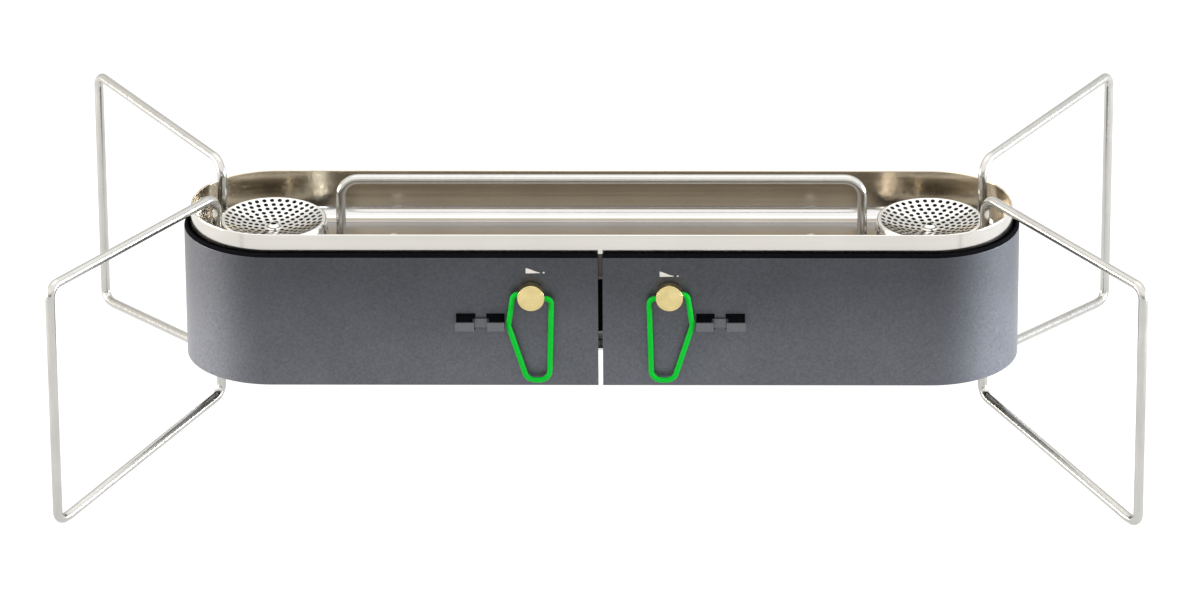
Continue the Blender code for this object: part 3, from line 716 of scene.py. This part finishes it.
def flame_holes():
    """Centres of the flame holes, ring by ring."""
    for ring in range(RING_COUNT):
        radius = RING_FIRST + RING_PITCH * ring
        count = round(2 * math.pi * radius / FLAME_HOLE_PITCH)
        for index in range(count):
            turn = 2 * math.pi * (index + 0.5 * (ring % 2)) / count
            yield Vector((radius * math.cos(turn), radius * math.sin(turn)))


def circle(centre, radius, count):
    turns = [2 * math.pi * step / count for step in range(count)]
    return [centre + Vector((radius * math.cos(turn), radius * math.sin(turn)))
            for turn in turns]


def pierced_disc(outer_count):
    """Flat pattern of the dish: its points, the triangles outside the holes, and the holes.

    The triangulation is done in millimetres, with rings of extra points that keep it even.
    """
    scale, rim_margin, points_per_radius = 1000, 0.4, 5
    middle_of_disc, disc_radius = Vector((0, 0)), DISH_RADIUS * scale
    points, edges, outlines = [], [], []
    holes = [(centre, FLAME_HOLE, HOLE_SIDES) for centre in flame_holes()]
    holes.append((middle_of_disc, CENTRE_HOLE, 24))
    for centre, radius, count in holes:
        first = len(points)
        points += circle(centre * scale, radius * scale, count)
        outlines.append(list(range(first, first + count)))
        edges += [(first + step, first + (step + 1) % count) for step in range(count)]
    rim_first = len(points)
    points += circle(middle_of_disc, disc_radius, outer_count)
    edges += [(rim_first + step, rim_first + (step + 1) % outer_count)
              for step in range(outer_count)]
    for ring in range(RING_COUNT + 1):
        radius = (RING_FIRST + RING_PITCH * (ring - 0.5)) * scale
        if radius < disc_radius - rim_margin:
            points += circle(middle_of_disc, radius, max(12, int(radius * points_per_radius)))
    made, _, triangles, origins, _, _ = delaunay_2d_cdt(points, edges, [], 0, 0.0001)
    new_index = {old: index for index, olds in enumerate(origins) for old in olds}
    outlines = [[new_index[old] for old in outline] for outline in outlines]
    kept = []
    for triangle in triangles:
        middle = sum((made[index] for index in triangle), Vector((0, 0))) / 3 / scale
        if all((middle - centre).length > radius * 0.97 for centre, radius, _ in holes):
            kept.append(triangle)
    return [point / scale for point in made], kept, outlines


def skirt_point(turn, part, inner):
    """A place on the skirt: part runs from its foot (0) to just under the rim (1)."""
    foot = Vector((SKIRT_RADIUS, SKIRT_LOW))
    head = Vector((DISH_RADIUS + SKIRT_TOP_OUT, DISH_RIM_Z - SKIRT_TOP_DROP))
    at = foot.lerp(head, part)
    radius = at.x - (HEAD_SHEET if inner else 0)
    return Vector((radius * math.cos(turn), radius * math.sin(turn), at.y))


def add_pierced_skirt(bm, low, high):
    """A band of the skirt with a round hole in the middle of every cell."""
    per_cell = HEAD_SIDES // SKIRT_CELLS
    turn_step = 2 * math.pi / HEAD_SIDES
    rise = (DISH_RIM_Z - SKIRT_LOW) * (high - low)
    for cell in range(SKIRT_CELLS):
        start = turn_step * per_cell * cell
        border = [(start + turn_step * step, low) for step in range(per_cell + 1)]
        border += [(start + turn_step * per_cell, low + (high - low) * step / 4)
                   for step in (1, 2, 3)]
        border += [(start + turn_step * step, high) for step in range(per_cell, -1, -1)]
        border += [(start, low + (high - low) * step / 4) for step in (3, 2, 1)]
        middle_turn, middle_part = start + turn_step * per_cell / 2, (low + high) / 2
        rims = []
        for inner in (False, True):
            edge = [bm.verts.new(skirt_point(turn, part, inner)) for turn, part in border]
            rim = []
            for turn, part in border:
                across = (turn - middle_turn) * SKIRT_RADIUS
                up = (part - middle_part) / (high - low) * rise
                far = math.hypot(across, up)
                rim.append(bm.verts.new(skirt_point(
                    middle_turn + across / far * SKIRT_HOLE / SKIRT_RADIUS,
                    middle_part + up / far * SKIRT_HOLE / rise * (high - low), inner)))
            for index in range(len(border)):
                after = (index + 1) % len(border)
                bm.faces.new((edge[index], edge[after], rim[after], rim[index]))
            rims.append(rim)
        for index in range(len(border)):
            after = (index + 1) % len(border)
            # Each hole's wall takes the burner's dark second material, painted shade.
            wall = bm.faces.new((rims[0][index], rims[0][after], rims[1][after], rims[1][index]))
            wall.material_index = 1


def make_burner_head(label, side):
    """Dish pierced with rings of flame holes, a rolled rim and a pierced skirt."""
    bm = bmesh.new()
    flat, triangles, outlines = pierced_disc(HEAD_SIDES)
    tops = [bm.verts.new((*point, dish_height(point.length))) for point in flat]
    feet = [bm.verts.new((*point, dish_height(point.length) - HEAD_SHEET)) for point in flat]
    for triangle in triangles:
        bm.faces.new([tops[index] for index in triangle])
        bm.faces.new([feet[index] for index in reversed(triangle)]).material_index = 1
    for outline in outlines:
        for first, second in zip(outline, outline[1:] + outline[:1]):
            wall = bm.faces.new((tops[first], tops[second], feet[second], feet[first]))
            wall.material_index = 1
    rim = [(DISH_RADIUS, DISH_RIM_Z), (DISH_RADIUS + 0.0005, DISH_RIM_Z + 0.00015),
           (DISH_RADIUS + 0.0010, DISH_RIM_Z + 0.0001), (DISH_RADIUS + 0.0014, DISH_RIM_Z - 0.0002)]
    under = [(DISH_RADIUS, DISH_RIM_Z - HEAD_SHEET), (DISH_RADIUS + 0.0004, DISH_RIM_Z - 0.0007)]
    turns = [2 * math.pi * step / HEAD_SIDES for step in range(HEAD_SIDES)]

    def ring(radius, z):
        return [bm.verts.new((radius * math.cos(turn), radius * math.sin(turn), z))
                for turn in turns]

    def skirt_ring(part, inner):
        return [bm.verts.new(skirt_point(turn, part, inner)) for turn in turns]

    def join(first, second):
        for index in range(HEAD_SIDES):
            after = (index + 1) % HEAD_SIDES
            bm.faces.new((first[index], first[after], second[after], second[index]))

    outside = [ring(*place) for place in rim] + [skirt_ring(1.0, False)]
    inside = [ring(*place) for place in under] + [skirt_ring(1.0, True)]
    for rings in (outside, inside):
        for first, second in zip(rings, rings[1:]):
            join(first, second)
    for low, high in (SKIRT_BANDS[0], SKIRT_BANDS[3]):
        for inner in (False, True):
            join(skirt_ring(low, inner), skirt_ring(high, inner))
    join(skirt_ring(0.0, False), skirt_ring(0.0, True))
    for low, high in SKIRT_BANDS[1:3]:
        add_pierced_skirt(bm, low, high)
    bmesh.ops.remove_doubles(bm, verts=bm.verts, dist=0.000004)
    bmesh.ops.translate(bm, vec=(side * END_X, 0, 0), verts=bm.verts)
    mesh = to_mesh("burner", bm)
    mesh.materials.append(BURNER_STEEL)
    # The dish's underside and the walls of its holes take the dark second material, painted shade.
    mesh.materials.append(BURNER_DARK_AND_SHADE)
    add_piece("pierced_burner_" + label, mesh, BURNER_STEEL,
              ["burner_head_" + label], 40, False)


def make_burner_inside(label, side):
    """Cup, its bridge and the middle screw, whose hexagon socket is painted dark as shade."""
    low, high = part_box("burner_cup_" + label)
    centre = (side * END_X, 0, 0)
    top, foot, wall = high.z, low.z, 0.0010
    brim, base, throat = high.y, 0.0206, 0.0076
    profile = [(throat, foot), (base, foot), (brim, top), (brim - wall, top),
               (base - wall, foot + wall), (throat, foot + wall), (throat, foot)]
    mesh = lathe_mesh("cup", eased(profile, 0.0006)[:-1], centre, (0, 0, 1), 96)
    add_piece("burner_bowl_" + label, mesh, BURNER_DARK_AND_SHADE, ["burner_cup_" + label])
    keep_node("burner_bridge_" + label, BURNER_DARK_AND_SHADE, 0.0002)
    low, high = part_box("burner_screw_" + label)
    seat, head = high.z - 0.0018, (high.x - low.x) / 2
    profile = [(0, high.z), (0.0021, high.z), (head, high.z - 0.0011), (head, seat),
               (0.0015, seat), (0.0015, low.z), (0, low.z)]
    mesh = lathe_mesh("screw", eased(profile, 0.0005), centre, (0, 0, 1), 48)
    socket = bmesh.new()
    depth, radius, skin = 0.0013, 0.0017, 0.0001
    add_rod(socket, (centre[0], 0, high.z - depth), (centre[0], 0, high.z + CUT_PAST), radius, 6)
    mesh = cut(mesh, socket)
    # The socket's walls and floor are painted dark, painted shade in the recess.
    paint(mesh, BURNER_STEEL,
          (BURNER_DARK_AND_SHADE, lambda face: math.dist(face.center.xy, centre[:2]) < radius - skin
           and (abs(face.normal.z) < 0.3 or face.center.z < high.z - depth + skin)))
    add_piece("burner_bolt_" + label, mesh, BURNER_STEEL, ["burner_screw_" + label])


# Controls

def make_knob(label, side):
    """Turned brass button with a grooved edge, and the holes for its bail and spindle."""
    knob = Vector(JOINTS["knob_turn_" + label]["pos_m"])
    low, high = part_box("knob_" + label)
    depth = high.y - low.y
    profile = [(0, depth), (KNOB_RADIUS - 0.0013, depth), (KNOB_RADIUS - 0.0012, depth - 0.00012),
               (KNOB_RADIUS - 0.0010, depth), (KNOB_RADIUS, depth), (KNOB_RADIUS, 0), (0, 0)]
    profile = eased(profile, 0.0006, 4)
    mesh = lathe_mesh("knob", profile, (knob.x, high.y, knob.z), (0, -1, 0), 96)
    holes = bmesh.new()
    along = Vector((side * math.cos(BAIL_TILT), 0, math.sin(BAIL_TILT)))
    for way in (1, -1):
        add_rod(holes, knob + along * way * 0.0043, knob + along * way * 0.012,
                BAIL_RADIUS + 0.0003, 32)
    add_rod(holes, (knob.x, high.y - 0.0040, knob.z), (knob.x, high.y + 0.002, knob.z), 0.0025, 32)
    finish = turned_metal("knob_brass_" + label, (0.57, 0.46, 0.21), (0.66, 0.545, 0.265), 0.24,
                          knob, 1)
    add_piece("brass_button_" + label, cut(mesh, holes), finish, ["knob_" + label])


def make_valve(label, side):
    keep_node("valve_body_" + label, BRASS, 0.0003)
    low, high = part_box("valve_spindle_" + label)
    centre, radius = (low + high) / 2, (high.x - low.x) / 2
    length = high.y - low.y
    profile = eased([(0, length), (radius, length), (radius, 0), (0, 0)], 0.0003)
    mesh = lathe_mesh("spindle", profile, (centre.x, high.y, centre.z), (0, -1, 0), 32)
    add_piece("valve_stem_" + label, mesh, BRASS, ["valve_spindle_" + label])
    low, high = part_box("jet_" + label)
    length, hexagon, centre = high.x - low.x, (high.z - low.z) / 2, (low + high) / 2
    start = low.x if side > 0 else high.x
    nut = lathe_mesh("jet", [(0, length * 0.45), (hexagon, length * 0.45), (hexagon, 0), (0, 0)],
                     (start, 0, centre.z), (side, 0, 0), 6)
    nozzle = bmesh.new()
    nozzle.from_mesh(soften(nut, 0.0002, degrees=50))
    tip = eased([(0, length), (0.0011, length), (0.0020, length * 0.6), (0.0020, length * 0.40),
                 (0, length * 0.40)], 0.0002)
    nozzle.from_mesh(lathe_mesh("tip", tip, (start, 0, centre.z), (side, 0, 0), 32))
    add_piece("gas_jet_" + label, to_mesh("jet", nozzle), BRASS, ["jet_" + label])


def make_pipes(label, side):
    low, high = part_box("gas_pipe_" + label)
    radius = (high.z - low.z) / 2
    y, z = high.y - radius, (high.z + low.z) / 2
    inner = low.x if side > 0 else high.x
    outer = (high.x if side > 0 else low.x) - side * radius
    path = rounded([(inner, y, z), (outer, y, z), (outer, low.y, z)], (0, 0.0055, 0))
    add_piece("copper_pipe_" + label, tube_mesh("pipe", path, radius), COPPER,
              ["gas_pipe_" + label], 60, False)
    low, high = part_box("mixing_tube_" + label)
    radius, wall = (high.y - low.y) / 2, 0.0010
    z = low.z + radius
    inner = low.x if side > 0 else high.x
    path = rounded([(inner, 0, z), (side * END_X, 0, z), (side * END_X, 0, high.z)],
                   (0, 0.013, 0), arc_steps=14)
    made = scratch(tube_mesh("mixing_tube", path, radius, capped=False))
    step = made.modifiers.new("wall", "SOLIDIFY")
    step.thickness = wall
    step.offset = -1
    add_piece("mixing_pipe_" + label, baked(made), ZINC, ["mixing_tube_" + label],
              50, False)


# Clips, brackets and small parts

def make_clip(name, side, face):
    """Sprung strip with rolled bends: a saddle between two raised wings."""
    stations = [(CLIP_END_OUT, CLIP_STANDOFF), (CLIP_NOTCH_OUT, CLIP_STANDOFF),
                (CLIP_NOTCH_OUT, CLIP_SADDLE), (-CLIP_NOTCH_IN, CLIP_SADDLE),
                (-CLIP_NOTCH_IN, CLIP_STANDOFF), (-CLIP_END_IN, CLIP_STANDOFF)]
    path = [(side * (CLIP_X + along), face * (SHELL_RADIUS + proud), CLIP_LOW.z)
            for along, proud in stations]
    mesh = strip_mesh("clip", path, (0, 0, CLIP_HIGH.z - CLIP_LOW.z), CLIP_SHEET,
                      (CLIP_X * side, 0, CLIP_LOW.z), bend=0.0006, edge=0.0002)
    add_piece("spring_clip_" + name, mesh, CLIP_COAT, ["leg_clip_" + name])
    # The plate behind the windows is painted flat black, painted shade seen through them.
    keep_node("clip_plate_" + name, LINER_BLACK_AND_SHADE, 0.0002)


def ring_mesh(name, node, inner, edge=0.0003):
    """A round collar with eased corners, in the place of a CAD ring that stands upright."""
    low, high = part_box(node)
    centre = (low + high) / 2
    outer = (high.x - low.x) / 2
    corners = [(inner, low.z), (outer, low.z), (outer, high.z), (inner, high.z), (inner, low.z)]
    return lathe_mesh(name, eased(corners, edge)[:-1], (centre.x, centre.y, 0), (0, 0, 1), 48)


def make_small_parts():
    for name in CORNERS:
        mesh = ring_mesh("collar", "leg_collar_" + name, WIRE_RADIUS + 0.0002)
        add_piece("stop_ring_" + name, mesh, ZINC, ["leg_collar_" + name])
        keep_node("shell_bracket_" + name, ZINC, 0.00025)
    for label in SIDES:
        mesh = ring_mesh("ferrule", "support_ferrule_" + label, WIRE_RADIUS + 0.0002)
        add_piece("hoop_ferrule_" + label, mesh, ZINC, ["support_ferrule_" + label])
        keep_node("leg_bracket_" + label, ZINC, 0.00025)
    keep_node("manifold_block", BRASS, 0.0006)
    for name, place in rivet_places().items():
        low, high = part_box(name)
        seat, tail = FLOOR_Z + GAP, TRAY_LOW.z - 0.0004 - SHEET - GAP
        profile = [(0, high.z), (0.0012, high.z - 0.00012), (0.0022, high.z - 0.0006),
                   (0.0027, seat), (0.0014, seat), (0.0014, tail), (0.0022, tail),
                   (0.0022, low.z), (0, low.z)]
        mesh = lathe_mesh("rivet", eased(profile, 0.0003), (place.x, place.y, 0), (0, 0, 1), 36)
        add_piece(name.replace("tray_", "round_"), mesh, ZINC, [name])


def make_centre_bracket():
    """Folded sheet under the tray: a web painted black as shade, bare zinc near its foot."""
    low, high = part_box("center_bracket")
    shade_foot = low.z + BRACKET_UNSHADED
    web_y = low.y + BRACKET_LIP
    path = [(low.x, high.y, high.z), (low.x, web_y, high.z), (low.x, web_y, low.z),
            (low.x, low.y, low.z)]
    mesh = strip_mesh("bracket", path, (high.x - low.x, 0, 0), SHEET, (low.x, high.y, low.z), 0.001)
    bm = bmesh.new()
    bm.from_mesh(mesh)
    bmesh.ops.bisect_plane(bm, geom=bm.verts[:] + bm.edges[:] + bm.faces[:],
                           plane_co=(0, 0, shade_foot), plane_no=(0, 0, 1))
    bm.to_mesh(mesh)
    bm.free()
    # Above its foot the sheet is painted black, painted shade seen through the seam.
    paint(mesh, ZINC, (LINER_BLACK_AND_SHADE, lambda face: face.center.z > shade_foot))
    add_piece("manifold_plate", mesh, ZINC, ["center_bracket"])


def make_inlet():
    """Barbed hose tail with its blind bore, and the nut outside the shell."""
    low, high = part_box("gas_inlet_fitting")
    centre, radius = (low + high) / 2, (high.x - low.x) / 2
    end = high.y - low.y
    profile = [(0, end - 0.012), (0.0022, end - 0.012), (0.0022, end), (0.0038, end),
               (radius, end - 0.003), (0.0038, end - 0.004), (radius, end - 0.007),
               (0.0038, end - 0.008), (radius, end - 0.011), (radius, 0), (0, 0)]
    mesh = lathe_mesh("tail", eased(profile, 0.0002), (centre.x, low.y, centre.z), (0, 1, 0), 64)
    add_piece("hose_tail", mesh, BRASS, ["gas_inlet_fitting"])
    low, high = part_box("gas_inlet_nut")
    centre = (low + high) / 2
    hexagon = (high.z - low.z) / 2
    bm = bmesh.new()
    add_rod(bm, (0, low.y, centre.z), (0, high.y, centre.z), hexagon, 6)
    bore = bmesh.new()
    add_rod(bore, (0, low.y - 0.003, centre.z), (0, high.y + 0.003, centre.z), radius + 0.0004, 64)
    mesh = soften(cut(to_mesh("nut", bm), bore), 0.0004, 3)
    add_piece("inlet_nut", mesh, BRASS, ["gas_inlet_nut"])


def make_marks():
    """Plain wedge with a dot above each knob, high at its left end."""
    shapes = (((-0.0027, 0.0115), (0.0046, 0.0117), (0.0046, 0.0120), (0.0030, 0.0124),
               (-0.0022, 0.0145), (-0.0027, 0.0143)),
              ((0.0062, 0.0116), (0.0071, 0.0116), (0.0071, 0.0123), (0.0062, 0.0123)))
    for label, shift in (("left", (0, 0, 0)), ("right", (-0.0024, 0, -0.0019))):
        knob = Vector(JOINTS["knob_turn_" + label]["pos_m"]) + Vector(shift)
        bm = bmesh.new()
        for shape in shapes:
            loft(bm, [[(knob.x + along, -SHELL_RADIUS + into, knob.z + up) for along, up in shape]
                      for into in MARK_DEPTHS])
        made = bpy.data.objects.new("flame_mark_" + label, to_mesh("mark", bm))
        made.data.materials.append(WHITE_MARK)
        bpy.context.scene.collection.objects.link(made)
        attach(made, "stove_body")


# Studio

TOP_GLOW = (1.7, 1.7, 1.69)
BACK_GLOW = (0.95, 0.94, 0.92)
FRONT_GLOW = (0.30, 0.29, 0.28)
LEFT_GLOW = (1.2, 1.16, 1.1)
RIGHT_GLOW = (1.2, 1.23, 1.28)
SKY_RAMPS = (("Y", -0.78, -0.90, FRONT_GLOW), ("X", -0.35, -0.75, LEFT_GLOW),
             ("X", 0.35, 0.75, RIGHT_GLOW))
SKY_LEAN = -0.22
TOP_RAMP = (0.35, 0.55)

CAMERA_TARGET = Vector((-0.0034, 0.0, 0.062))
CAMERA_DISTANCE = 4.2
CAMERA_ELEVATION = math.radians(24.0)
CAMERA_YAW = math.radians(1.083)
CAMERA_ROLL = math.radians(-0.376)
CAMERA_LENS = 238.4
CAMERA_SHIFT = (0.00538, 0.00315)


def make_camera():
    data = bpy.data.cameras.new("camera")
    data.lens = CAMERA_LENS
    data.sensor_width = 36.0
    data.shift_x, data.shift_y = CAMERA_SHIFT
    data.clip_start, data.clip_end = 0.1, 100.0
    flat, rise = math.cos(CAMERA_ELEVATION), math.sin(CAMERA_ELEVATION)
    forward = Vector((-math.sin(CAMERA_YAW) * flat, math.cos(CAMERA_YAW) * flat, -rise))
    right = forward.cross(Vector((0, 0, 1))).normalized()
    up = right.cross(forward)
    turned_right = right * math.cos(CAMERA_ROLL) + up * math.sin(CAMERA_ROLL)
    turned_up = up * math.cos(CAMERA_ROLL) - right * math.sin(CAMERA_ROLL)
    turn = Matrix((turned_right, turned_up, -forward)).transposed()
    camera = bpy.data.objects.new("camera", data)
    camera.matrix_world = (Matrix.Translation(CAMERA_TARGET - forward * CAMERA_DISTANCE)
                           @ turn.to_4x4())
    bpy.context.scene.collection.objects.link(camera)
    bpy.context.scene.camera = camera


def make_floor():
    bm = bmesh.new()
    bmesh.ops.create_grid(bm, x_segments=1, y_segments=1, size=12.0)
    made = bpy.data.objects.new("floor", to_mesh("floor", bm))
    bpy.context.scene.collection.objects.link(made)
    made.location.z = -0.0001
    material, tree, shader, _ = new_material("floor_white")
    set_inputs(tree, shader, {
        "Base Color": (0.15, 0.15, 0.15, 1), "Roughness": 0.9, "Specular IOR Level": 0.0,
        "Emission Color": (1, 1, 1, 1), "Emission Strength": 0.95})
    made.data.materials.append(material)


def add_light(name, place, target, size, power, colour=(1, 1, 1)):
    data = bpy.data.lights.new(name, "AREA")
    data.shape = "RECTANGLE"
    data.size, data.size_y = size
    data.energy = power
    data.color = colour
    made = bpy.data.objects.new(name, data)
    made.location = place
    made.rotation_euler = (Vector(target) - Vector(place)).to_track_quat("-Z", "Y").to_euler()
    bpy.context.scene.collection.objects.link(made)


def make_lights():
    """Tent of light: bright above and at the sides, dim low at the front, white behind."""
    world = bpy.data.worlds.new("studio")
    world.use_nodes = True
    tree = world.node_tree
    way = add_node(tree, "TexCoord", {}).outputs["Generated"]
    way = add_node(tree, "SeparateXYZ", {"Vector": way}).outputs
    colour = BACK_GLOW
    for axis, start, end, glow in SKY_RAMPS:
        share = map_range(tree, way[axis], start, end, 0, 1, "SMOOTHSTEP")
        colour = blend(tree, share, colour, glow)
    height = add_node(tree, "Math", {0: way["Y"], 1: SKY_LEAN, 2: way["Z"]},
                      operation="MULTIPLY_ADD").outputs["Value"]
    colour = blend(tree, map_range(tree, height, *TOP_RAMP, 0, 1, "SMOOTHSTEP"), colour, TOP_GLOW)
    seen = add_node(tree, "LightPath", {}).outputs["Is Camera Ray"]
    set_inputs(tree, tree.nodes["Background"], {"Color": blend(tree, seen, colour, (1, 1, 1))})
    bpy.context.scene.world = world
    bpy.context.scene.view_settings.view_transform = "Standard"
    add_light("top", (0.0, 0.3, 2.2), (0, 0, 0.05), (2.4, 1.6), 6)
    add_light("left", (-1.1, 0.0, 0.16), (-0.2, 0, 0.07), (0.7, 0.28), 14, (1.0, 0.93, 0.86))
    add_light("right", (1.1, 0.0, 0.16), (0.2, 0, 0.07), (0.7, 0.28), 19, (0.88, 0.94, 1.0))


make_camera()
make_floor()
make_lights()
make_tray()
make_hoop()
make_small_parts()
make_centre_bracket()
make_inlet()
make_marks()
for corner, (corner_side, corner_face) in CORNERS.items():
    make_leg(corner)
    make_clip(corner, corner_side, corner_face)
for side_name, side_sign in SIDES.items():
    make_shell_half(side_name, side_sign)
    make_burner_head(side_name, side_sign)
    make_burner_inside(side_name, side_sign)
    make_knob(side_name, side_sign)
    make_bail(side_name, side_sign)
    make_valve(side_name, side_sign)
    make_pipes(side_name, side_sign)
